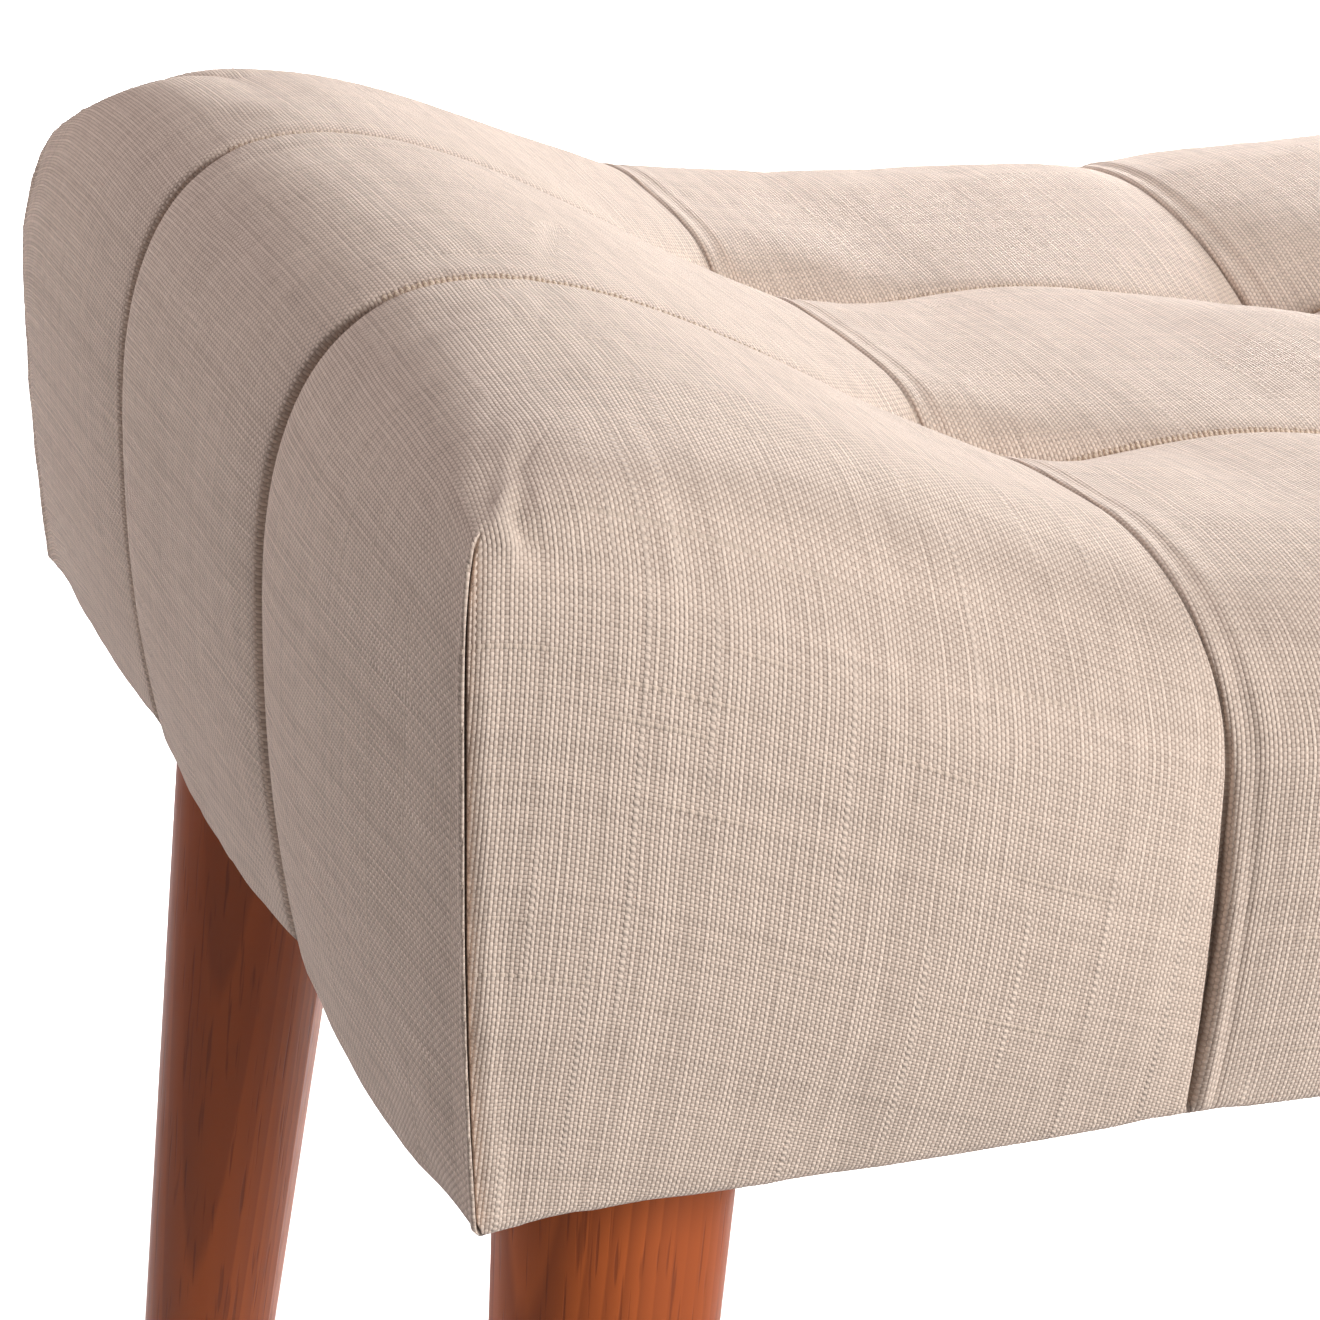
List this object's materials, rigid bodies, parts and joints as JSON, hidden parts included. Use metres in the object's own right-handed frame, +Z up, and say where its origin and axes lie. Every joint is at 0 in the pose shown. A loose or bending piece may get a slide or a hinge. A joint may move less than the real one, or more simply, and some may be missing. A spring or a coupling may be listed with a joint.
{
  "type": "tufted pouf",
  "caption": "Low padded pouf with a dished, tufted linen seat on splayed, tapered wooden legs.",
  "frame": {"origin": "on the floor, under the middle of the seat", "axes": "+X along the seat's length, +Y from the front to the back, +Z up"},
  "size_m": [0.62, 0.426, 0.4497],
  "materials": {
    "linen": "matte natural beige plain weave",
    "fibre": "soft white fibre",
    "foam": "fine open cell foam",
    "dust_cloth": "thin black felted cloth",
    "twine": "waxed linen twine",
    "cherry_wood": "satin reddish brown stain",
    "pine": "planed, unfinished",
    "plywood": "sanded, unfinished",
    "steel": "zinc plated",
    "glide_plastic": "matte black"
  },
  "bodies": {
    "root": {"rail_front": "pine", "rail_back": "pine", "rail_left": "pine", "rail_right": "pine", "cross_rail_left": "pine", "cross_rail_right": "pine", "corner_block_front_left": "pine", "corner_block_front_right": "pine", "corner_block_back_left": "pine", "corner_block_back_right": "pine", "rail_dowels": "pine", "block_screws": "steel", "cross_rail_screws": "steel", "board_screws": "steel", "seat_board": "plywood", "foam_slab": "foam", "foam_roll_left": "foam", "foam_roll_right": "foam", "wadding": "fibre", "tufted_cover": "linen", "tuft_ties": "twine", "tuft_washers": "steel", "cover_staples": "steel", "dust_cover": "dust_cloth", "dust_cover_staples": "steel", "leg_front_left": "cherry_wood", "leg_front_right": "cherry_wood", "leg_back_left": "cherry_wood", "leg_back_right": "cherry_wood", "hanger_bolts": "steel", "tee_nuts": "steel", "foot_glide_front_left": "glide_plastic", "foot_glide_front_right": "glide_plastic", "foot_glide_back_left": "glide_plastic", "foot_glide_back_right": "glide_plastic", "glide_nails": "steel"}
  },
  "joints": []
}
